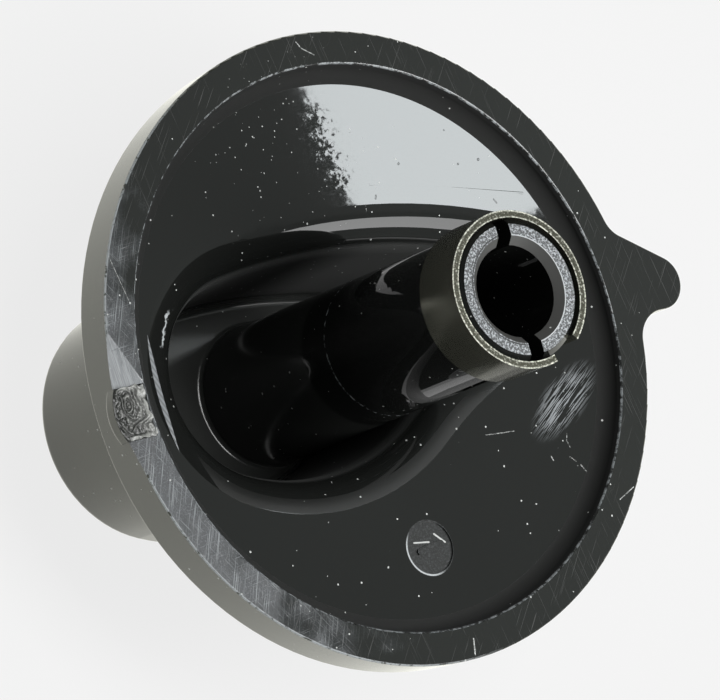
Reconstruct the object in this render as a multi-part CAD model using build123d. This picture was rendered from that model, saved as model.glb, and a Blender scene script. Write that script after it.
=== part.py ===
from build123d import *
import os
from math import atan2, cos, degrees, hypot, radians, sin, sqrt, tan

# Heights along the knob axis, in millimetres, from the grip's flat front
grip_height = 13.6
skirt_thickness = 2.05
lip_height = 1.35
boss_reach = 15.0

# Skirt with its raised lip
rim_radius = 21.0
lip_width = 2.2
lip_draft = 0.1
lip_foot_radius = 0.95
skirt_wall_draft = 0.2
skirt_front_rounding = 0.25
rim_edge_rounding = 0.12

# Grip, a comma in plan, as it leaves the skirt
head_margin = 4.25
head_radius = 8.4
belly_radius = 15.7
belly_start_angle = 247.0
tail_margin = 3.5
tail_y = 2.15
tail_radius = 3.8
upper_flank_radius = 48.2
lower_flank_radius = 30.0
grip_draft = 0.45
grip_wall = 1.9
front_wall = 2.2
grip_front_rounding = 0.7
hollow_draft = 0.35
hollow_floor_fillet = 0.6
mouth_fillet = 2.7

# Pointer nub on the rim
nub_reach = 4.23
nub_tip_y = 0.37
nub_tip_radius = 1.83
nub_upper_slope = 33.0
nub_upper_blend = 2.0
nub_lower_blend = 2.2

# Boss with its split collar, and a little wider at its foot
boss_radius = 4.57
boss_draft = 0.25
boss_foot_flare = 0.3
bore_radius = 2.95
bore_depth = 16.0
bore_chamfer = 0.5
collar_chamfer = 0.38
slot_width = 1.05
slot_depth = 9.0
bore_draft = 0.09
shaft_flat_distance = 1.6
shaft_flat_start = 6.0

# Spring clip
clip_clearance = 0.03
clip_thickness = 0.47
clip_width = 3.6
clip_gap_centre = -61.5
clip_gap_angle = 26.0

# Ejector disc on the skirt's inner face, with a plain raised bar
disc_x = 0.15
disc_y = -13.3
disc_radius = 1.72
disc_depth = 0.12
bar_length = 2.2
bar_width = 0.45
bar_angle = 8.0

# Sprue gate on the rim, opposite the pointer, torn off and trimmed with two knife cuts
gate_y = -0.95
gate_width = 3.4
gate_proud = 0.45
gate_height = 1.3
gate_rounding = 0.4
gate_tear_depth = 0.22
knife_depth = 0.45
upper_cut_reach = 5.4
lower_cut_reach = 4.1

# How far cutting shapes pass the faces they cut, and how near an edge lies to the level it is found by
overshoot = 1.0
nearness = 0.01

# Levels that follow from the sizes above
skirt_front_z = grip_height
floor_z = skirt_front_z + skirt_thickness
rim_z = floor_z + lip_height
tip_z = rim_z + boss_reach
lip_inner_radius = rim_radius - lip_width
lip_foot_outer = lip_inner_radius - lip_draft
head_x = -(rim_radius - head_margin - head_radius)
tail_x = rim_radius - tail_margin - tail_radius
nub_tip_x = rim_radius + nub_reach - nub_tip_radius
nub_root_x = lip_inner_radius - lip_width
boss_root_z = front_wall / 2


def meeting_point(centre_a, radius_a, centre_b, radius_b, side):
    """Point at two given distances from two centres, on the chosen side of the line between them."""
    ax, ay = centre_a
    bx, by = centre_b
    span = hypot(bx - ax, by - ay)
    along = (radius_a**2 - radius_b**2 + span**2) / (2 * span)
    across = side * sqrt(radius_a**2 - along**2)
    ux, uy = (bx - ax) / span, (by - ay) / span
    return (ax + along * ux - across * uy, ay + along * uy + across * ux)


def arc(centre, radius, start, end):
    """Arc from start to end, in degrees, turning left when end is the larger."""
    return CenterArc(centre, radius, start, end - start)


def heading(origin, target):
    return degrees(atan2(target[1] - origin[1], target[0] - origin[0]))


def comma_outline(grow=0.0):
    """Five tangent arcs: tail, upper flank, head, belly and hollow lower flank."""
    head = (head_x, 0.0)
    tail = (tail_x, tail_y)
    upper = meeting_point(head, upper_flank_radius - head_radius, tail, upper_flank_radius - tail_radius, -1)
    reach = belly_radius - head_radius
    belly = (head[0] - reach * cos(radians(belly_start_angle)), head[1] - reach * sin(radians(belly_start_angle)))
    lower = meeting_point(belly, belly_radius + lower_flank_radius, tail, tail_radius + lower_flank_radius, -1)
    tail_start = heading(upper, tail)
    head_start = heading(upper, head)
    belly_end = heading(belly, lower) + 360
    lower_end = heading(lower, tail)
    tail_end = heading(tail, lower)
    outline = arc(upper, upper_flank_radius + grow, tail_start, head_start)
    outline += arc(head, head_radius + grow, head_start, belly_start_angle)
    outline += arc(belly, belly_radius + grow, belly_start_angle, belly_end)
    outline += arc(lower, lower_flank_radius - grow, belly_end - 180, lower_end)
    outline += arc(tail, tail_radius + grow, tail_end, tail_start)
    return make_face(outline)


def drafted(grow_low, z_low, grow_high, z_high):
    """Comma shaped bar whose walls lean from one size of outline to another."""
    low = Pos(0, 0, z_low) * comma_outline(grow_low)
    high = Pos(0, 0, z_high) * comma_outline(grow_high)
    return loft([low.face(), high.face()], ruled=True)


def disc(radius, z_low, z_high):
    return Pos(0, 0, z_low) * Cylinder(radius, z_high - z_low, align=(Align.CENTER, Align.CENTER, Align.MIN))


def turned(section):
    """Solid of revolution about the knob axis, from a half section drawn as (radius, height)."""
    return revolve(Plane.XZ * make_face(section), Axis.Z)


def make_skirt():
    """Solid round plate with the pointer nub blended into its wall."""
    section = Polyline((0, skirt_front_z), (rim_radius - skirt_wall_draft, skirt_front_z), (rim_radius, rim_z),
                       (0, rim_z), close=True)
    skirt = turned(section) + make_nub()
    corners = skirt.edges().filter_by(is_nub_root)
    skirt = fillet(corners.filter_by(lambda e: e.center().Y > 0), nub_upper_blend)
    corners = skirt.edges().filter_by(is_nub_root)
    skirt = fillet(corners.filter_by(lambda e: e.center().Y < 0), nub_lower_blend)
    front = skirt.faces().sort_by(Axis.Z)[0]
    return fillet(front.edges(), skirt_front_rounding)


def is_nub_root(edge):
    """True for an upright edge where a flank of the nub meets the round wall."""
    place = edge.center()
    upright = abs(edge.tangent_at(0.5).Z) > 0.9
    return upright and place.X > nub_root_x and hypot(place.X, place.Y) < rim_radius + overshoot / 5


def make_nub():
    slope = radians(nub_upper_slope)
    upper_touch = (nub_tip_x + nub_tip_radius * sin(slope), nub_tip_y + nub_tip_radius * cos(slope))
    upper_root = (nub_root_x, upper_touch[1] + (upper_touch[0] - nub_root_x) * tan(slope))
    lower_touch = (nub_tip_x, nub_tip_y - nub_tip_radius)
    outline = arc((nub_tip_x, nub_tip_y), nub_tip_radius, -90, 90 - nub_upper_slope)
    outline += Polyline(upper_touch, upper_root, (nub_root_x, lower_touch[1]), lower_touch)
    return extrude(Pos(0, 0, skirt_front_z) * make_face(outline), rim_z - skirt_front_z)


def make_grip():
    grip = drafted(-grip_draft, 0, 0, floor_z)
    return fillet(grip.faces().sort_by(Axis.Z)[0].edges(), grip_front_rounding)


def make_recess():
    """What the lip encloses, down to the skirt's inner face, with a rounded foot."""
    foot_centre = (lip_foot_outer - lip_foot_radius, floor_z + lip_foot_radius)
    above = rim_z + overshoot
    section = Polyline((foot_centre[0], floor_z), (0, floor_z), (0, above), (lip_inner_radius, above),
                       (lip_inner_radius, rim_z), (lip_foot_outer, foot_centre[1]))
    section += RadiusArc((lip_foot_outer, foot_centre[1]), (foot_centre[0], floor_z), lip_foot_radius)
    return turned(section)


def make_hollow():
    """Space behind the grip, flaring out to the skirt's inner face."""
    hollow = drafted(-grip_wall - hollow_draft, front_wall, -grip_wall, floor_z)
    hollow = fillet(hollow.faces().sort_by(Axis.Z)[0].edges(), hollow_floor_fillet)
    cover = disc(rim_radius + mouth_fillet, floor_z, rim_z)
    flared = hollow + cover
    mouth = flared.edges().filter_by(lambda e: abs(e.center().Z - floor_z) < nearness and
                                     hypot(e.center().X, e.center().Y) < rim_radius - overshoot)
    flared = fillet(mouth, mouth_fillet)
    return flared & disc(lip_foot_outer - lip_foot_radius, front_wall, rim_z)


def make_boss():
    """Drafted post with a flared foot and a chamfered collar, as long as the spring clip is wide."""
    foot_radius = boss_radius + boss_draft
    flare = boss_foot_flare
    hollow_of_arc = flare * (1 - sqrt(0.5))
    section = Polyline((foot_radius + flare, front_wall), (foot_radius + flare, boss_root_z), (0, boss_root_z),
                       (0, tip_z), (boss_radius - collar_chamfer, tip_z), (boss_radius, tip_z - collar_chamfer),
                       (boss_radius, tip_z - clip_width), (foot_radius, front_wall + flare))
    section += ThreePointArc((foot_radius, front_wall + flare),
                             (foot_radius + hollow_of_arc, front_wall + hollow_of_arc),
                             (foot_radius + flare, front_wall))
    return turned(section)


def make_bore():
    """Shaft hole: a round lead-in, then a drafted length with a flat on the side away from the pointer."""
    low = tip_z - bore_depth
    step = tip_z - shaft_flat_start
    bore = Pos(0, 0, low) * Cone(bore_radius - bore_draft, bore_radius, step - low,
                                 align=(Align.CENTER, Align.CENTER, Align.MIN))
    bore -= Pos(-shaft_flat_distance, 0, low) * Box(bore_radius, 2 * bore_radius, step - low,
                                                    align=(Align.MAX, Align.CENTER, Align.MIN))
    mouth = Pos(0, 0, tip_z - bore_chamfer) * Cone(bore_radius, bore_radius + bore_chamfer, bore_chamfer,
                                                   align=(Align.CENTER, Align.CENTER, Align.MIN))
    return bore + disc(bore_radius, step, tip_z) + mouth


def make_slots():
    return Pos(0, 0, tip_z - slot_depth) * Box(slot_width, 2 * (boss_radius + overshoot), slot_depth,
                                               align=(Align.CENTER, Align.CENTER, Align.MIN))


def make_disc_mark():
    """Shallow round recess around a plain raised bar."""
    place = Pos(disc_x, disc_y, floor_z - disc_depth)
    mark = Cylinder(disc_radius, disc_depth, align=(Align.CENTER, Align.CENTER, Align.MIN))
    bar = extrude(SlotOverall(bar_length, bar_width), disc_depth)
    return place * (mark - Rot(0, 0, bar_angle) * bar)


def make_gate_stub():
    """Low round swelling of the wall where the sprue stood."""
    radius = ((gate_width / 2)**2 + gate_proud**2) / (2 * gate_proud)
    centre = -rim_radius - gate_proud + radius
    stub = Pos(centre, gate_y, rim_z - gate_height) * Cylinder(radius, gate_height,
                                                               align=(Align.CENTER, Align.CENTER, Align.MIN))
    stub &= Pos(-rim_radius, gate_y, rim_z) * Box(2 * lip_width, gate_width, 2 * gate_height)
    low_edge = stub.faces().sort_by(Axis.Z)[0].edges().sort_by(Axis.X)[0]
    return fillet(low_edge, gate_rounding)


def make_gate_tear():
    """Shallow pit left where the sprue was torn off."""
    return Pos(-rim_radius, gate_y, rim_z) * Box(2 * (lip_width - rim_edge_rounding), gate_width,
                                                 2 * gate_tear_depth)


def make_knife_cut(side, reach):
    """Slanting cut through the lip's outer edge, from the torn pit to where the blade ran out."""
    edge_y = gate_y + side * gate_width / 2
    far_y = gate_y + side * reach
    run_out = Vector(-sqrt(rim_radius**2 - far_y**2), far_y, rim_z)
    inner = Vector(-lip_inner_radius, edge_y, rim_z)
    deep = Vector(-rim_radius, edge_y, rim_z - knife_depth)
    normal = (run_out - inner).cross(deep - inner)
    if normal.Z < 0:
        normal = -normal
    above = extrude(Plane(origin=inner, z_dir=normal) * Rectangle(4 * reach, 4 * reach), 2 * lip_width)
    beside = Pos(-rim_radius, edge_y, rim_z) * Box(2 * lip_width, 2 * reach, 4 * knife_depth,
                                                   align=(Align.CENTER, Align.MIN, Align.CENTER))
    if side < 0:
        beside = Pos(-rim_radius, edge_y, rim_z) * Box(2 * lip_width, 2 * reach, 4 * knife_depth,
                                                       align=(Align.CENTER, Align.MAX, Align.CENTER))
    return above & beside


def make_body():
    body = make_skirt() - make_recess()
    rim_edges = body.edges().filter_by(lambda e: e.center().Z > rim_z - nearness)
    body = fillet(rim_edges, rim_edge_rounding)
    body += make_gate_stub()
    body += make_grip()
    body -= make_hollow()
    body += make_boss()
    body -= make_bore()
    body -= make_slots()
    body -= make_disc_mark()
    body -= make_gate_tear()
    body -= make_knife_cut(1, upper_cut_reach)
    body -= make_knife_cut(-1, lower_cut_reach)
    return body


def make_clip():
    """Open band of spring steel around the split collar."""
    inner = boss_radius + clip_clearance
    ring = disc(inner + clip_thickness, tip_z - clip_width, tip_z) - disc(inner, tip_z - clip_width, tip_z)
    reach = 2 * (inner + clip_thickness)
    half = clip_gap_angle / 2
    wedge = Polyline((0, 0), (reach, reach * tan(radians(half))), (reach, -reach * tan(radians(half))), close=True)
    gap = Pos(0, 0, tip_z - clip_width) * extrude(make_face(wedge), clip_width)
    return ring - Rot(0, 0, clip_gap_centre) * gap


os.makedirs("parts", exist_ok=True)
nodes = {"knob_body": make_body(), "spring_clip": make_clip()}
for name, shape in nodes.items():
    export_step(shape, f"parts/{name}.step")
    box = shape.bounding_box()
    print(name, round(shape.volume, 2), "mm3", box)
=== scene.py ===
import math
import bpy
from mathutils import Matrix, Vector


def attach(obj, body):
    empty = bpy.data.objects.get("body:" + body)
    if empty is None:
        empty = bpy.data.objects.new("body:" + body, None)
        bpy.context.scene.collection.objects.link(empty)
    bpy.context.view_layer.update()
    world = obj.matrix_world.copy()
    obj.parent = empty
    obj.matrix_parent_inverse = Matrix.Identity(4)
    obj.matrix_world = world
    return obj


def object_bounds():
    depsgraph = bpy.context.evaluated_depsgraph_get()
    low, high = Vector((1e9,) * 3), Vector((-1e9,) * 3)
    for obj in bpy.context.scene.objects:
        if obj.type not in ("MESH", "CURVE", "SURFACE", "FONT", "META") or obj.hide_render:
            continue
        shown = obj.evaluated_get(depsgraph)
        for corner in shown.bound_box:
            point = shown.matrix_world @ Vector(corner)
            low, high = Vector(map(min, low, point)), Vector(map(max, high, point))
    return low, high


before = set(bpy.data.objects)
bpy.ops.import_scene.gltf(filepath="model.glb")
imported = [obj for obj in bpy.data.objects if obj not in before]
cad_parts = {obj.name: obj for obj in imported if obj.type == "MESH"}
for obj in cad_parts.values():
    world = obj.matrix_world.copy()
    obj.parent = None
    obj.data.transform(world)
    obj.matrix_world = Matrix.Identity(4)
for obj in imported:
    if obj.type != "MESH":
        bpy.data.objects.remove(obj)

from types import SimpleNamespace

import bpy
from mathutils import Matrix, Vector, noise

cad_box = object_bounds()

MM = 0.001

# The photograph's frame in pixels, and the camera solved from the rim, lip and boss circles in it
PHOTO_WIDTH = 720
PHOTO_HEIGHT = 700
LENS_AXIS_PIXEL = (357.16, 338.76)
FOCAL_PIXELS = 5214.35
CAMERA_PLACE = (-199.15, -30.11, 285.25)
CAMERA_RIGHT = (0.79104, -0.26689, 0.55049)
CAMERA_DOWN = (-0.16335, -0.95930, -0.23036)

# Sizes of the moulding and the clip in millimetres, as the CAD model has them
BOSS_REACH = 15.0
LIP_HEIGHT = 1.35
LIP_WIDTH = 2.2
SKIRT_THICKNESS = 2.05
RIM_ROUNDING = 0.12
BOSS_RADIUS = 4.57
BORE_RADIUS = 2.95
CLIP_CLEARANCE = 0.03
CLIP_THICKNESS = 0.47

# Levels along the shaft axis in millimetres, down from the collar's end face
COLLAR_LEVEL = round(cad_box[1][2] / MM, 2)
RIM_LEVEL = COLLAR_LEVEL - BOSS_REACH
FLOOR_LEVEL = RIM_LEVEL - LIP_HEIGHT
SKIRT_FRONT_LEVEL = FLOOR_LEVEL - SKIRT_THICKNESS

# Radii round the shaft axis in millimetres
RIM_RADIUS = round(cad_box[1][1] / MM, 1)
LIP_INNER_RADIUS = RIM_RADIUS - LIP_WIDTH
CLIP_INNER_RADIUS = BOSS_RADIUS + CLIP_CLEARANCE
CLIP_OUTER_RADIUS = CLIP_INNER_RADIUS + CLIP_THICKNESS

# The torn sprue gate and the knife cuts on either side of it, in millimetres
GATE_Y = -0.95
GATE_WIDTH = 3.4
GATE_PROUD = 0.45
GATE_TEAR_DEPTH = 0.22
GATE_CURL = (-20.3, -0.35)
GATE_LOW_Y = -2.6
LOWER_CUT_Y = -5.3
UPPER_CUT_Y = 4.7
CUT_INNER_X = -17.6

# The ejector pin's witness mark, in millimetres
DISC_CENTRE = (0.05, -13.3, 0.0)
DISC_RADIUS = 1.72

# The scuff, the dustiest part and the sink mark of the inner face, in millimetres in the plan
SCUFF_CENTRE = (13.9, -5.9)
SCUFF_HEADING = (0.85, 0.53)
SCUFF_HALF_LENGTH = 3.6
SCUFF_HALF_WIDTH = 1.5
DUSTY_PLACE = (-3.0, 13.5, 0.0)
SINK_PLACE = (0.6, 13.4, 0.0)

# Small marks in the plan, each with its two ends and half its width in millimetres
RIM_NICKS = (((0.47, -19.7), (0.26, -20.7), 0.05), ((-0.44, 20.5), (-0.15, 20.0), 0.035),
             ((-0.15, 20.0), (0.71, 19.45), 0.03), ((15.1, -13.2), (16.5, -12.6), 0.03),
             ((-18.9, 9.1), (-18.3, 6.0), 0.015))
FLOOR_NICKS = (((13.38, -8.1), (13.2, -8.5), 0.03), ((13.2, -8.5), (13.32, -9.0), 0.03),
               ((13.1, -9.6), (13.5, -10.0), 0.02), ((13.8, -10.3), (14.1, -10.8), 0.04),
               ((6.9, -7.0), (9.2, -7.15), 0.03), ((11.6, -9.3), (11.7, -9.6), 0.04),
               ((2.46, 9.09), (2.24, 8.44), 0.045))
FLOOR_DENTS = (((5.95, 11.62), (6.0, 11.66), 0.05), ((10.7, 10.9), (10.74, 10.92), 0.045),
               ((12.42, 10.96), (12.46, 10.98), 0.06), ((10.33, 13.3), (10.36, 13.3), 0.035),
               ((3.5, 9.85), (3.4, 9.65), 0.04), ((12.8, 8.15), (12.95, 7.9), 0.04))
FLOW_LINE = (((3.2, 10.53), (9.3, 9.5), 0.06), ((9.3, 9.5), (15.3, 8.2), 0.06))
# Painted highlights: the two glints on the raised bar of the ejector mark
DISC_MARKS = (((-0.98, -12.76), (0.19, -12.92), 0.05), ((0.75, -12.49), (1.43, -13.16), 0.06))

# Colours of the plastic
POLISHED_BLACK = (0.0075, 0.008, 0.0075, 1)
# Painted light: the hollow's black is paler than the polished black, to lighten the deep shade inside it
HOLLOW_BLACK = (0.018, 0.019, 0.018, 1)
OUTSIDE_BLACK = (0.03, 0.032, 0.0225, 1)
RIM_BLACK = (0.0125, 0.0135, 0.0125, 1)
DISC_BLACK = (0.008, 0.0085, 0.008, 1)
# Painted shadow: the black of the dark line round the left side of the bore's mouth
GROOVE_BLACK = (0.01, 0.01, 0.01, 1)
WORN_DARK = (0.035, 0.038, 0.042, 1)
SCRAPED_GREY = (0.27, 0.29, 0.3, 1)
STRAY_GREY = (0.12, 0.12, 0.12, 1)
CUT_DARK = (0.1, 0.11, 0.117, 1)
CUT_LIGHT = (0.16, 0.172, 0.18, 1)
COLLAR_DARK = (0.045, 0.048, 0.05, 1)
COLLAR_LIGHT = (0.36, 0.38, 0.4, 1)
DISC_SPECKLE = (0.04, 0.042, 0.044, 1)
SLOPE_GREY = (0.05, 0.05, 0.048, 1)
# Painted highlight: the pale grey of the bright edges at the ejector mark, the bore's mouth and the mouth's
# left end
EDGE_GREY = (0.4, 0.42, 0.43, 1)
TOOLED_GREY = (0.2, 0.21, 0.22, 1)
SCUFF_GREY = (0.17, 0.18, 0.19, 1)
# Also the colour of the nicks and of the painted glints on the ejector mark
DUST_GREY = (0.42, 0.43, 0.42, 1)
TORN_DARK = (0.022, 0.023, 0.021, 1)
TORN_PALE = (0.28, 0.285, 0.27, 1)

# Colours of the clip
STEEL_DARK = (0.15, 0.15, 0.12, 1)
STEEL_LIGHT = (0.21, 0.21, 0.17, 1)
SHEARED_STEEL = (0.06, 0.06, 0.045, 1)
# Painted highlight: the pale colour of the glints on the clip's sheared face
STEEL_GLINT = (0.66, 0.66, 0.58, 1)

# The direction from which the skirt's inner face mirrors the main softbox to the camera
SOFTBOX_AXIS = Vector((0.59, 0.09, 0.80)).normalized()
SOFTBOX_DISTANCE = 500
SOFTBOX_SHIFT = (28.0, -11.3)
SOFTBOX_TINT = (0.93, 0.985, 1.0)


class Nodes:
    """A node tree, with short calls for the nodes used here. Lengths in it are millimetres."""

    def __init__(self, tree, output):
        self.tree = tree
        self.tree.nodes.clear()
        self.output = self.tree.nodes.new(output)

    def add(self, kind, inputs=None, **settings):
        node = self.tree.nodes.new(kind)
        for key, value in settings.items():
            setattr(node, key, value)
        for key, value in (inputs or {}).items():
            self.put(node.inputs[key], value)
        return node

    def put(self, socket, value):
        if isinstance(value, bpy.types.NodeSocket):
            self.tree.links.new(value, socket)
        else:
            socket.default_value = value

    def math(self, operation, a, b=0.0, clamp=False):
        return self.add("ShaderNodeMath", {0: a, 1: b}, operation=operation, use_clamp=clamp).outputs[0]

    def vector(self, operation, a, b=(0, 0, 0)):
        return self.add("ShaderNodeVectorMath", {0: a, 1: b}, operation=operation).outputs["Vector"]

    def scale(self, vector, amount):
        node = self.add("ShaderNodeVectorMath", {0: vector, "Scale": amount}, operation="SCALE")
        return node.outputs["Vector"]

    def dot(self, a, b):
        return self.add("ShaderNodeVectorMath", {0: a, 1: b}, operation="DOT_PRODUCT").outputs["Value"]

    def distance(self, a, b=(0, 0, 0)):
        return self.add("ShaderNodeVectorMath", {0: a, 1: b}, operation="DISTANCE").outputs["Value"]

    def above(self, value, limit):
        return self.math("GREATER_THAN", value, limit)

    def below(self, value, limit):
        return self.math("LESS_THAN", value, limit)

    def ramp(self, value, low, high, to_low=0.0, to_high=1.0):
        node = self.add("ShaderNodeMapRange", {"Value": value, "From Min": low, "From Max": high,
                                               "To Min": to_low, "To Max": to_high},
                        interpolation_type="SMOOTHSTEP")
        return node.outputs["Result"]

    def band(self, value, low, high, soft):
        """One between low and high, falling to nothing over the soft width on either side."""
        return self.all(self.ramp(value, low - soft, low + soft), self.ramp(value, high + soft, high - soft))

    def all(self, first, *others):
        for other in others:
            first = self.math("MULTIPLY", first, other)
        return first

    def any(self, first, *others):
        for other in others:
            first = self.math("MAXIMUM", first, other)
        return first

    def opposite(self, mask):
        return self.math("SUBTRACT", 1.0, mask)

    def blend(self, factor, a, b):
        return self.add("ShaderNodeMix", {0: factor, 6: a, 7: b}, data_type="RGBA").outputs[2]

    def mix(self, factor, a, b):
        return self.add("ShaderNodeMix", {0: factor, 2: a, 3: b}, data_type="FLOAT").outputs[0]

    def noise(self, place, scale, detail=2.0, roughness=0.5, output="Fac"):
        node = self.add("ShaderNodeTexNoise", {"Vector": place, "Scale": scale, "Detail": detail,
                                               "Roughness": roughness})
        return node.outputs[output]

    def shiver(self, place, scale, detail, roughness, amount):
        """Small random vector that wanders from place to place."""
        wave = self.noise(place, scale, detail, roughness, "Color")
        return self.scale(self.vector("SUBTRACT", wave, (0.5, 0.5, 0.5)), amount)

    def split(self, vector):
        node = self.add("ShaderNodeSeparateXYZ", {0: vector})
        return node.outputs[0], node.outputs[1], node.outputs[2]

    def join(self, x, y, z):
        return self.add("ShaderNodeCombineXYZ", {0: x, 1: y, 2: z}).outputs[0]

    def surface(self, shader):
        self.tree.links.new(shader, self.output.inputs["Surface"])


class Surface:
    """The shaded point: its place in millimetres, its radius round the shaft and the way it faces."""

    def __init__(self, n):
        self.place = n.vector("MULTIPLY", n.add("ShaderNodeTexCoord").outputs["Object"], (1 / MM,) * 3)
        self.x, self.y, self.z = n.split(self.place)
        self.plan = n.join(self.x, self.y, 0.0)
        self.radius = n.distance(self.plan)
        self.normal = n.add("ShaderNodeNewGeometry").outputs["Normal"]
        self.facing_up = n.split(self.normal)[2]


def new_material(name):
    material = bpy.data.materials.new(name)
    material.use_nodes = True
    return material, Nodes(material.node_tree, "ShaderNodeOutputMaterial")


def place_camera():
    data = bpy.data.cameras.new("photo_camera")
    camera = bpy.data.objects.new("photo_camera", data)
    bpy.context.scene.collection.objects.link(camera)
    right, down = Vector(CAMERA_RIGHT), Vector(CAMERA_DOWN)
    forward = right.cross(down)
    turn = Matrix((right, -down, -forward)).transposed()
    camera.matrix_world = Matrix.Translation(Vector(CAMERA_PLACE) * MM) @ turn.to_4x4()
    data.sensor_width = 36.0
    data.lens = FOCAL_PIXELS / PHOTO_WIDTH * data.sensor_width
    data.shift_x = (PHOTO_WIDTH / 2 - LENS_AXIS_PIXEL[0]) / PHOTO_WIDTH
    data.shift_y = (LENS_AXIS_PIXEL[1] - PHOTO_HEIGHT / 2) / PHOTO_WIDTH
    data.clip_start = 0.01
    data.clip_end = 20
    bpy.context.scene.camera = camera


def add_softbox(name, centre, across, rising, width, height, radiance, tint=(1, 1, 1)):
    """Rectangular area light in millimetres, with its brightness as it looks, 1 being white."""
    data = bpy.data.lights.new(name, "AREA")
    data.shape = "RECTANGLE"
    data.size = width * MM
    data.size_y = height * MM
    data.color = tint
    data.energy = radiance * math.pi * data.size * data.size_y
    light = bpy.data.objects.new(name, data)
    bpy.context.scene.collection.objects.link(light)
    turn = Matrix((across, rising, across.cross(rising))).transposed()
    light.matrix_world = Matrix.Translation(centre * MM) @ turn.to_4x4()
    light.visible_camera = False


def light_studio():
    """The main softbox, a wide one overhead, and a small one low beside the lower right edge."""
    east, up = Vector((1, 0, 0)), Vector((0, 0, 1))
    across = up.cross(SOFTBOX_AXIS).normalized()
    rising = SOFTBOX_AXIS.cross(across)
    centre = SOFTBOX_AXIS * SOFTBOX_DISTANCE + across * SOFTBOX_SHIFT[0] + rising * SOFTBOX_SHIFT[1]
    add_softbox("main_softbox", centre, across, rising, width=36.0, height=29.4, radiance=13.2,
                tint=SOFTBOX_TINT)
    along, sideways = Vector((0.5, -0.866, 0)), Vector((0.866, 0.5, 0))
    add_softbox("overhead", Vector((60, -100, 500)), along, sideways, width=560, height=170, radiance=11.5)
    add_softbox("low_card", Vector((41, -40, 81)), east, up, width=53, height=67, radiance=5.0)


def light_world():
    """A dim room, paler to the right and round the main softbox."""
    world = bpy.data.worlds.new("studio")
    bpy.context.scene.world = world
    world.use_nodes = True
    n = Nodes(world.node_tree, "ShaderNodeOutputWorld")
    ray = n.add("ShaderNodeTexCoord").outputs["Generated"]
    room = n.ramp(n.dot(ray, (0.95, -0.25, 0.15)), -0.3, 0.75, 0.12, 0.3)
    near_softbox = n.ramp(n.dot(ray, tuple(SOFTBOX_AXIS)), 0.93, 0.985, 0.0, 0.12)
    level = n.math("ADD", room, near_softbox)
    background = n.add("ShaderNodeBackground", {"Color": (0.94, 1.0, 0.97, 1), "Strength": level})
    n.surface(background.outputs[0])


def pale_paper():
    """Paper that keeps shadows, and that the camera and glossy faces see as the photo's background."""
    material, n = new_material("pale_floor")
    paper = n.add("ShaderNodeBsdfDiffuse", {"Color": (0.9, 0.9, 0.9, 1)})
    path = n.add("ShaderNodeLightPath")
    strength = n.mix(path.outputs["Is Glossy Ray"], 0.872, 1.42)
    tint = n.blend(path.outputs["Is Glossy Ray"], (1, 1, 1, 1), (1, 1, 0.92, 1))
    glow = n.add("ShaderNodeEmission", {"Color": tint, "Strength": strength})
    seen = n.any(path.outputs["Is Camera Ray"], path.outputs["Is Glossy Ray"])
    both = n.add("ShaderNodeMixShader", {0: n.all(seen, 0.93), 1: paper.outputs[0], 2: glow.outputs[0]})
    n.surface(both.outputs[0])
    return material


def lay_floor():
    reach = 3.0
    corners = [(-reach, -reach, 0), (reach, -reach, 0), (reach, reach, 0), (-reach, reach, 0)]
    mesh = bpy.data.meshes.new("studio_floor")
    mesh.from_pydata(corners, [], [(0, 1, 2, 3)])
    mesh.materials.append(pale_paper())
    floor = bpy.data.objects.new("studio_floor", mesh)
    bpy.context.scene.collection.objects.link(floor)
    floor.location.z = -0.1 * MM


def dust(n, place, per_mm, share, radius):
    """Sparse round specks: in a share of the cells, with the radius of the largest."""
    cells = n.add("ShaderNodeTexVoronoi", {"Vector": place, "Scale": per_mm, "Randomness": 1.0})
    chosen = n.split(cells.outputs["Color"])[0]
    size = n.ramp(chosen, 1 - share, 1.0, 0.3, 1.0)
    speck = n.below(cells.outputs["Distance"], n.all(size, radius * per_mm))
    return n.all(speck, n.above(chosen, 1 - share))


def scratches(n, place, heading, length, width, amount):
    """Fine broken lines along one heading in the plan, in degrees."""
    turn = math.radians(heading)
    along = n.dot(place, (math.cos(turn) / length, math.sin(turn) / length, 0))
    across = n.dot(place, (-math.sin(turn) / width, math.cos(turn) / width, 0))
    grain = n.noise(n.join(along, across, heading * 0.37), 1.0, 1.0, 0.4)
    return n.ramp(grain, 0.72 - amount, 0.78 - amount)


def strokes(n, plan, marks):
    """Short straight marks, each given by its two ends and half its width."""
    found = 0.0
    for start, end, half_width in marks:
        run = Vector(end) - Vector(start)
        offset = n.vector("SUBTRACT", plan, (*start, 0.0))
        progress = n.dot(offset, (run.x, run.y, 0.0))
        reached = n.math("MULTIPLY", progress, 1 / run.length_squared, clamp=True)
        nearest = n.join(n.all(reached, run.x), n.all(reached, run.y), 0.0)
        distance = n.distance(offset, nearest)
        found = n.any(n.ramp(distance, half_width * 1.4, half_width * 0.6), found)
    return found


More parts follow.
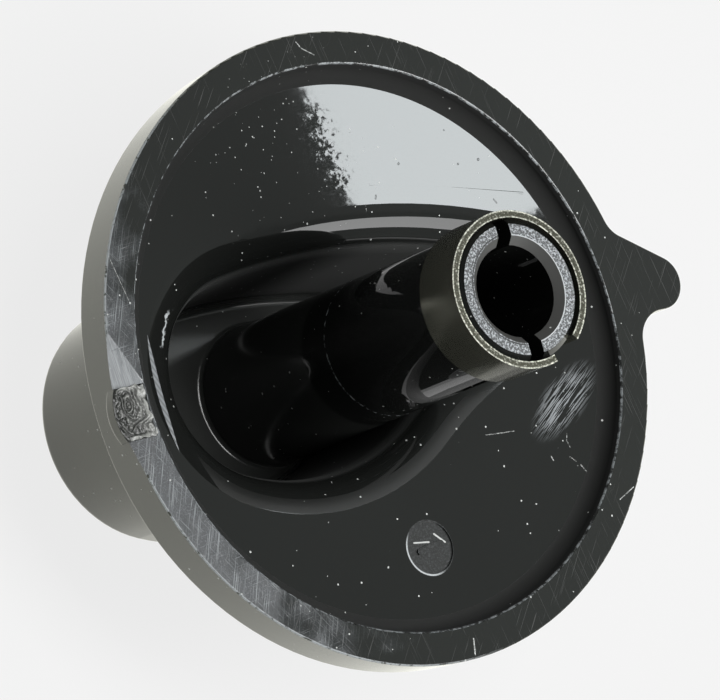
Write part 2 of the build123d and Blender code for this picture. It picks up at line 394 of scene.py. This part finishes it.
def find_faces(n, s, on):
    """Masks of the moulding's own faces."""
    upward = n.ramp(s.facing_up, 0.75, 0.92)
    on.rim = n.all(n.band(s.z, RIM_LEVEL - RIM_ROUNDING, RIM_LEVEL + 0.3, 0.03), upward)
    on.collar = n.all(n.above(s.z, COLLAR_LEVEL - 0.03), upward)
    outward = n.any(n.above(n.dot(s.normal, s.plan), 0.0), n.below(s.facing_up, -0.3))
    grip_side = n.all(n.below(s.z, SKIRT_FRONT_LEVEL + 0.1), n.below(s.facing_up, 0.3))
    rim_side = n.above(s.radius, RIM_RADIUS - 0.4)
    on.outside = n.all(outward, n.any(grip_side, rim_side), n.above(s.radius, BOSS_RADIUS + 0.3))
    on.inner_face = n.all(n.band(s.z, FLOOR_LEVEL - 0.05, FLOOR_LEVEL + 0.05, 0.02),
                          n.ramp(s.facing_up, 0.98, 0.995))
    on.hollow = n.all(n.ramp(s.z, SKIRT_FRONT_LEVEL + 1.0, SKIRT_FRONT_LEVEL + 0.4), n.opposite(on.outside))
    on.post = n.below(s.radius, BOSS_RADIUS + 0.4)
    on.lip_wall = n.all(n.band(s.z, FLOOR_LEVEL - 0.05, RIM_LEVEL - 0.04, 0.01),
                        n.band(s.radius, LIP_INNER_RADIUS - 1.06, LIP_INNER_RADIUS + 0.1, 0.005))
    on.lower_mouth = n.all(n.band(s.z, FLOOR_LEVEL - 0.2, FLOOR_LEVEL - 0.001, 0.001),
                           n.ramp(s.y, -3.0, -5.0), n.below(s.radius, 16.0))


def find_disc(n, s, on):
    """Masks of the ejector pin's mark and of the painted highlight along one side of its edge."""
    from_centre = n.distance(s.plan, DISC_CENTRE)
    at_floor = n.band(s.z, FLOOR_LEVEL - 0.3, FLOOR_LEVEL + 0.1, 0.02)
    on.disc = n.all(n.ramp(from_centre, DISC_RADIUS + 0.17, DISC_RADIUS + 0.1), at_floor)
    # Painted highlight: only one side of the mark's edge is laid pale
    bright_side = n.ramp(n.dot(s.place, (-0.8, -0.6, 0)), 8.1, 9.2)
    edge = n.band(from_centre, DISC_RADIUS + 0.02, DISC_RADIUS + 0.12, 0.03)
    on.disc_edge = n.all(edge, at_floor, bright_side)


def find_bore_mouth(n, s, on):
    """Masks of the bore's chamfer and of the lines round it: a painted highlight on the right and a painted
    shadow line on the left.
    """
    on.bore_slope = n.all(n.below(s.radius, BORE_RADIUS + 0.5), n.band(s.facing_up, 0.4, 0.9, 0.05),
                          n.above(s.z, COLLAR_LEVEL - 0.6))
    # Painted highlight round the right side of the bore's mouth
    on.bore_edge = n.all(n.band(s.radius, BORE_RADIUS + 0.47, BORE_RADIUS + 0.56, 0.02), on.collar,
                         n.ramp(s.x, -0.5, 1.0))
    # Painted shadow line round the left side of the bore's mouth
    on.bore_groove = n.all(n.band(s.radius, BORE_RADIUS + 0.56, BORE_RADIUS + 0.64, 0.02), on.collar,
                           n.ramp(s.x, 0.5, -1.0))


def knife_cut(n, s, low_y, high_y):
    """Slanting face that a knife left in the lip, between two places along the edge."""
    slanting = n.band(s.facing_up, 0.9, 0.992, 0.002)
    below_rim = n.band(s.z, RIM_LEVEL - 0.7, RIM_LEVEL - 0.01, 0.01)
    in_lip = n.all(n.below(s.x, CUT_INNER_X), n.above(s.radius, LIP_INNER_RADIUS - 0.05))
    return n.all(in_lip, n.band(s.y, low_y, high_y, 0.1), slanting, below_rim)


def find_wear(n, s, on):
    """Masks of the knife cuts, the rubbed part of the rim and its chipped edges."""
    toward_wear = n.dot(s.place, (-0.96 / RIM_RADIUS, -0.28 / RIM_RADIUS, 0))
    rubbed = n.math("ADD", toward_wear, n.all(n.noise(s.place, 0.35), 0.8))
    on.cut = knife_cut(n, s, GATE_LOW_Y, UPPER_CUT_Y)
    on.worn = n.any(knife_cut(n, s, LOWER_CUT_Y, GATE_LOW_Y), n.all(on.rim, n.ramp(rubbed, 0.95, 1.35)))
    rounded = n.all(n.band(s.z, RIM_LEVEL - RIM_ROUNDING - 0.01, RIM_LEVEL, 0.01),
                    n.below(s.facing_up, 0.97))
    outer_edge = n.all(rounded, n.above(s.radius, RIM_RADIUS - 0.3))
    inner_edge = n.all(rounded, n.below(s.radius, LIP_INNER_RADIUS + 0.3))
    on.worn_edge = n.any(n.all(outer_edge, n.ramp(toward_wear, 0.1, 0.5), n.ramp(s.chipped, 0.36, 0.5)),
                         n.all(inner_edge, n.ramp(s.chipped, 0.42, 0.6), 0.7))


def find_mouth_marks(n, s, on):
    """Masks of the ragged painted highlight in the mouth's left end, and of the tooled flat between mouth and
    lip.
    """
    # Painted highlight: a ragged pale line on the fillet at the mouth's left end
    ragged_z = n.math("ADD", s.z, n.all(n.math("SUBTRACT", s.chipped, 0.5), 0.5))
    on.mouth_line = n.all(n.band(ragged_z, FLOOR_LEVEL - 0.35, FLOOR_LEVEL - 0.27, 0.03),
                          n.band(s.x, -16.6, -13.5, 0.05), n.band(s.y, 3.0, 5.0, 0.2))
    flat = n.all(n.band(s.radius, 15.0, 17.15, 0.02), n.below(s.x, -16.72),
                 n.band(s.z, FLOOR_LEVEL - 0.65, FLOOR_LEVEL + 0.35, 0.05))
    hatch = n.math("SINE", n.dot(s.place, (19.0, 11.0, 0)))
    on.tooled = n.all(flat, n.ramp(hatch, -0.9, 0.6, 0.55, 1.0))


def find_scratches(n, s, on):
    """Masks of the rim's scratches, the scuff on the inner face, the single nick marks and dents, and the
    painted glints on the ejector mark.
    """
    steep = scratches(n, s.place, heading=66.0, length=2.6, width=0.05, amount=0.10)
    level = scratches(n, s.place, heading=8.0, length=3.0, width=0.045, amount=0.08)
    crossing = scratches(n, s.place, heading=124.0, length=2.2, width=0.05, amount=0.08)
    patchy = n.ramp(n.noise(s.place, 0.8), 0.42, 0.6)
    on.lines = n.any(steep, n.all(level, patchy), n.all(crossing, n.opposite(patchy)))
    on.stray_lines = n.any(scratches(n, s.place, heading=52.0, length=3.5, width=0.06, amount=0.03),
                           scratches(n, s.place, heading=101.0, length=4.0, width=0.05, amount=0.02))
    on.cut_lines = scratches(n, s.place, heading=96.0, length=1.5, width=0.04, amount=0.2)

    from_scuff = n.vector("SUBTRACT", s.place, (*SCUFF_CENTRE, FLOOR_LEVEL))
    east, north = SCUFF_HEADING
    scuff_along = n.dot(from_scuff, (east / SCUFF_HALF_LENGTH, north / SCUFF_HALF_LENGTH, 0))
    scuff_across = n.dot(from_scuff, (-north / SCUFF_HALF_WIDTH, east / SCUFF_HALF_WIDTH, 0))
    scuffed = n.ramp(n.distance(n.join(scuff_along, scuff_across, 0.0)), 1.15, 0.35)
    scuff_lines = scratches(n, s.place, heading=34.0, length=1.5, width=0.075, amount=0.22)
    on.scuff = n.all(on.inner_face, scuffed, scuff_lines)

    on.nicks = n.any(n.all(on.rim, strokes(n, s.plan, RIM_NICKS), n.ramp(s.grain, 0.35, 0.6)),
                     n.all(on.inner_face, strokes(n, s.plan, FLOOR_NICKS), n.ramp(s.grain, 0.4, 0.65)),
                     # Painted highlights: two glints on the ejector mark's bar
                     n.all(on.disc, strokes(n, s.plan, DISC_MARKS)))
    on.dents = n.all(on.inner_face, n.any(n.all(strokes(n, s.plan, FLOOR_DENTS), 0.15),
                                          n.all(strokes(n, s.plan, FLOW_LINE), 0.008)))


def find_dust(n, s, on):
    """Mask of the dust: thickest on the upper left of the inner face, and on none that looks down inside."""
    thick_part = n.ramp(n.distance(s.plan, DUSTY_PLACE), 8.0, 2.0)
    thick_dust = n.all(dust(n, s.place, per_mm=2.4, share=0.7, radius=0.055), thick_part)
    thin_dust = dust(n, s.place, per_mm=1.7, share=0.4, radius=0.07)
    on.specks = n.all(n.any(thick_dust, thin_dust), n.any(n.above(s.facing_up, -0.2), on.outside))


def plastic_colour(n, s, on):
    """Colour layers of the plastic, each laid over the ones before it."""
    scraped = n.any(n.all(on.lines, 0.8), n.ramp(s.grain, 0.5, 0.75, 0.0, 0.5))
    # Painted light: the hollow gets a paler black to lighten its shade
    colour = n.blend(on.hollow, POLISHED_BLACK, HOLLOW_BLACK)
    layers = ((on.outside, OUTSIDE_BLACK),
              (on.rim, RIM_BLACK),
              (on.worn, n.blend(scraped, WORN_DARK, SCRAPED_GREY)),
              (n.all(on.rim, on.stray_lines, 0.4), STRAY_GREY),
              (on.cut, n.blend(on.cut_lines, CUT_DARK, CUT_LIGHT)),
              (on.collar, n.blend(n.ramp(s.speckle, 0.47, 0.6), COLLAR_DARK, COLLAR_LIGHT)),
              (on.disc, n.blend(n.ramp(s.speckle, 0.45, 0.68), DISC_BLACK, DISC_SPECKLE)),
              # Painted shadow line round the bore's mouth
              (on.bore_groove, GROOVE_BLACK),
              (on.bore_slope, SLOPE_GREY),
              # Painted highlights on the ejector mark's edge, the bore's mouth and the mouth's left end
              (n.any(on.disc_edge, on.bore_edge, on.mouth_line), EDGE_GREY),
              (on.worn_edge, SCRAPED_GREY),
              (on.tooled, TOOLED_GREY),
              (on.scuff, SCUFF_GREY),
              # Dust, nicks and the painted glints on the ejector mark
              (n.any(on.specks, on.nicks), DUST_GREY))
    for mask, layer in layers:
        colour = n.blend(mask, colour, layer)
    return colour


def plastic_roughness(n, s, on):
    """Roughness layers of the plastic: polished inside, satin outside, dull where moulded rough or worn."""
    in_hollow = n.mix(on.post, n.ramp(s.z, 2.6, 4.0, 0.2, 0.95), 0.16)
    rough = n.mix(on.outside, 0.022, 0.1)
    layers = ((on.rim, 0.06),
              (on.hollow, in_hollow),
              (on.lower_mouth, 0.4),
              (on.lip_wall, 1.0),
              (n.any(on.worn, on.cut, on.collar, on.worn_edge, on.bore_slope), 0.45),
              (on.disc, 0.3),
              (n.any(on.specks, on.scuff, on.tooled, on.nicks), 0.6))
    for mask, layer in layers:
        rough = n.mix(mask, rough, layer)
    return rough


def plastic_relief(n, s, on):
    """Slight waves of the polish and crown of the rim, then the fine relief of rough and dented faces."""
    waves = n.shiver(s.place, 1.7, 3.0, 0.6, 0.0032)
    sink_amount = n.ramp(n.distance(s.plan, SINK_PLACE), 4.6, 2.0, 0.0, 0.013)
    sink = n.shiver(s.place, 2.6, 3.0, 0.65, sink_amount)
    crown = n.scale(s.plan, n.all(on.rim, 0.04 / RIM_RADIUS))
    tilt = n.vector("ADD", n.vector("ADD", waves, sink), crown)
    polished = n.vector("NORMALIZE", n.vector("ADD", s.normal, tilt))
    height = n.math("ADD", n.all(on.collar, s.speckle), n.all(on.worn, n.any(on.lines, s.grain), 0.35))
    height = n.math("SUBTRACT", height, on.dents)
    return n.add("ShaderNodeBump", {"Strength": 1.0, "Distance": 0.05 * MM, "Height": height,
                                    "Normal": polished}).outputs[0]


def black_plastic():
    material, n = new_material("black_plastic")
    s = Surface(n)
    s.grain = n.noise(s.place, 9.0, 4.0, 0.6)
    s.chipped = n.noise(s.place, 2.2, 3.0, 0.7)
    s.speckle = n.noise(s.place, 6.5, 3.0, 0.75)
    on = SimpleNamespace()
    for find in (find_faces, find_disc, find_bore_mouth, find_wear, find_mouth_marks, find_scratches,
                 find_dust):
        find(n, s, on)
    shader = n.add("ShaderNodeBsdfPrincipled", {"Base Color": plastic_colour(n, s, on),
                                                "Roughness": plastic_roughness(n, s, on),
                                                "Normal": plastic_relief(n, s, on)})
    n.surface(shader.outputs[0])
    return material


def spring_steel():
    """Dull rolled faces, and sheared edges with painted glints, thickest along both sides."""
    material, n = new_material("spring_steel")
    s = Surface(n)
    sheared = n.ramp(s.facing_up, 0.6, 0.9)
    # Painted highlights: glints laid pale over the sheared face, thickest in these bands along both edges
    burr = n.any(n.band(s.radius, CLIP_OUTER_RADIUS - 0.09, CLIP_OUTER_RADIUS + 0.1, 0.03),
                 n.band(s.radius, CLIP_INNER_RADIUS - 0.1, CLIP_INNER_RADIUS + 0.07, 0.03))
    grain = n.noise(s.place, 6.0, 4.0, 0.65)
    glint = n.math("ADD", n.all(n.ramp(grain, 0.36, 0.6), burr), n.ramp(grain, 0.52, 0.7, 0.0, 0.6))
    colour = n.blend(n.ramp(grain, 0.35, 0.7), STEEL_DARK, STEEL_LIGHT)
    colour = n.blend(sheared, colour, SHEARED_STEEL)
    colour = n.blend(n.all(sheared, glint), colour, STEEL_GLINT)
    bump = n.add("ShaderNodeBump", {"Strength": 1.0, "Distance": 0.03 * MM, "Height": n.all(sheared, grain)})
    shader = n.add("ShaderNodeBsdfPrincipled", {"Base Color": colour, "Metallic": 0.85,
                                                "Roughness": n.mix(sheared, 0.17, 0.4),
                                                "Normal": bump.outputs[0]})
    n.surface(shader.outputs[0])
    return material


def torn_plastic():
    """The sprue's torn stump: glossy ridges, paler towards their crests."""
    material, n = new_material("torn_plastic")
    s = Surface(n)
    grain = n.noise(s.place, 8.0, 3.0, 0.6)
    crest = n.ramp(n.math("ADD", s.z, n.all(grain, 0.12)), RIM_LEVEL - 0.1, RIM_LEVEL + 0.08)
    shader = n.add("ShaderNodeBsdfPrincipled", {"Base Color": n.blend(crest, TORN_DARK, TORN_PALE),
                                                "Roughness": 0.3})
    n.surface(shader.outputs[0])
    return material


def drift(x, y, per_mm, sheet):
    """Smooth random value between -1 and 1 over the plan. Each sheet has a pattern of its own."""
    return noise.noise(Vector((x * per_mm, y * per_mm, sheet)))


def torn_height(x, y):
    """Height of the torn surface above the pit, in millimetres: fibres curled round one spot,
    deep at the outer side and nearly flush at the inner one."""
    fibres_per_mm = 2.4
    curl = Vector(((x - GATE_CURL[0]) * 1.25, (y - GATE_CURL[1]) * 0.8, 0.0)).length
    bent = drift(x, y, 1.3, 3.0) * 1.5 + drift(x, y, 3.1, 5.0) * 0.45
    fibre = 0.5 + 0.5 * math.sin(2 * math.pi * (curl * fibres_per_mm + bent))
    strength = 0.05 + 0.16 * abs(drift(x, y, 1.9, 8.0))
    inward = (x + RIM_RADIUS) / (RIM_RADIUS - LIP_INNER_RADIUS)
    fine = noise.fractal(Vector((x * 5, y * 5, 1.0)), 1.0, 2.0, 3)
    return 0.03 + 0.12 * max(0.0, inward) ** 2 + strength * fibre + 0.04 * fine


def torn_points(columns, rows):
    """Points over the gate's pit, row by row: the torn face first, then the flat foot under it."""
    swell = ((GATE_WIDTH / 2) ** 2 + GATE_PROUD ** 2) / (2 * GATE_PROUD)
    pit_level = RIM_LEVEL - GATE_TEAR_DEPTH
    border_cells, outer_cells = 12, 8
    filled_share = 0.985
    outer_gap, inner_gap, foot_depth = 0.03, 0.12, 0.05
    top, foot = [], []
    for row in range(rows + 1):
        for column in range(columns + 1):
            wander = 0.13 * drift(column / columns, row / rows, 5, 7.0)
            y = GATE_Y + GATE_WIDTH * (row / rows - 0.5) * filled_share + wander
            bulge = GATE_PROUD - swell + math.sqrt(swell ** 2 - (y - GATE_Y) ** 2)
            outer = -RIM_RADIUS - bulge + outer_gap
            inner = -math.sqrt(LIP_INNER_RADIUS ** 2 - y ** 2) - inner_gap + wander * 0.8
            x = outer + (inner - outer) * column / columns
            flush = 0.19 + 0.2 * drift(x, y, 1.9, 9.0)
            inside = min(1.0, min(columns - column, row, rows - row) / border_cells)
            lift = flush + (torn_height(x, y) - flush) * inside
            lift *= min(1.0, column / outer_cells)
            top.append((x * MM, y * MM, (pit_level + lift) * MM))
            foot.append((x * MM, y * MM, (pit_level - foot_depth) * MM))
    return top + foot


def slab_faces(columns, rows):
    """Faces of a closed slab whose top and foot are grids of the same points."""
    wide = columns + 1
    foot = wide * (rows + 1)
    faces = []
    for row in range(rows):
        for column in range(columns):
            a = row * wide + column
            faces.append((a, a + 1, a + 1 + wide, a + wide))
            faces.append((foot + a, foot + a + wide, foot + a + 1 + wide, foot + a + 1))
    border = list(range(columns))
    border += [columns + row * wide for row in range(rows)]
    border += [rows * wide + columns - column for column in range(columns)]
    border += [(rows - row) * wide for row in range(rows)]
    for index, start in enumerate(border):
        end = border[(index + 1) % len(border)]
        faces.append((start, start + foot, end + foot, end))
    return faces


def make_torn_gate():
    """Closed low slab that fills the pit of the sprue gate, with a torn upper face."""
    columns, rows = 90, 120
    mesh = bpy.data.meshes.new("torn_gate")
    mesh.from_pydata(torn_points(columns, rows), [], slab_faces(columns, rows))
    mesh.materials.append(torn_plastic())
    mesh.shade_smooth()
    piece = bpy.data.objects.new("torn_gate", mesh)
    bpy.context.scene.collection.objects.link(piece)
    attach(piece, "root")


def finish_cad_node(name, material):
    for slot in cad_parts[name].material_slots:
        slot.material = material


place_camera()
light_studio()
light_world()
lay_floor()
finish_cad_node("knob_body", black_plastic())
finish_cad_node("spring_clip", spring_steel())
make_torn_gate()

bpy.context.scene.view_settings.view_transform = "Standard"
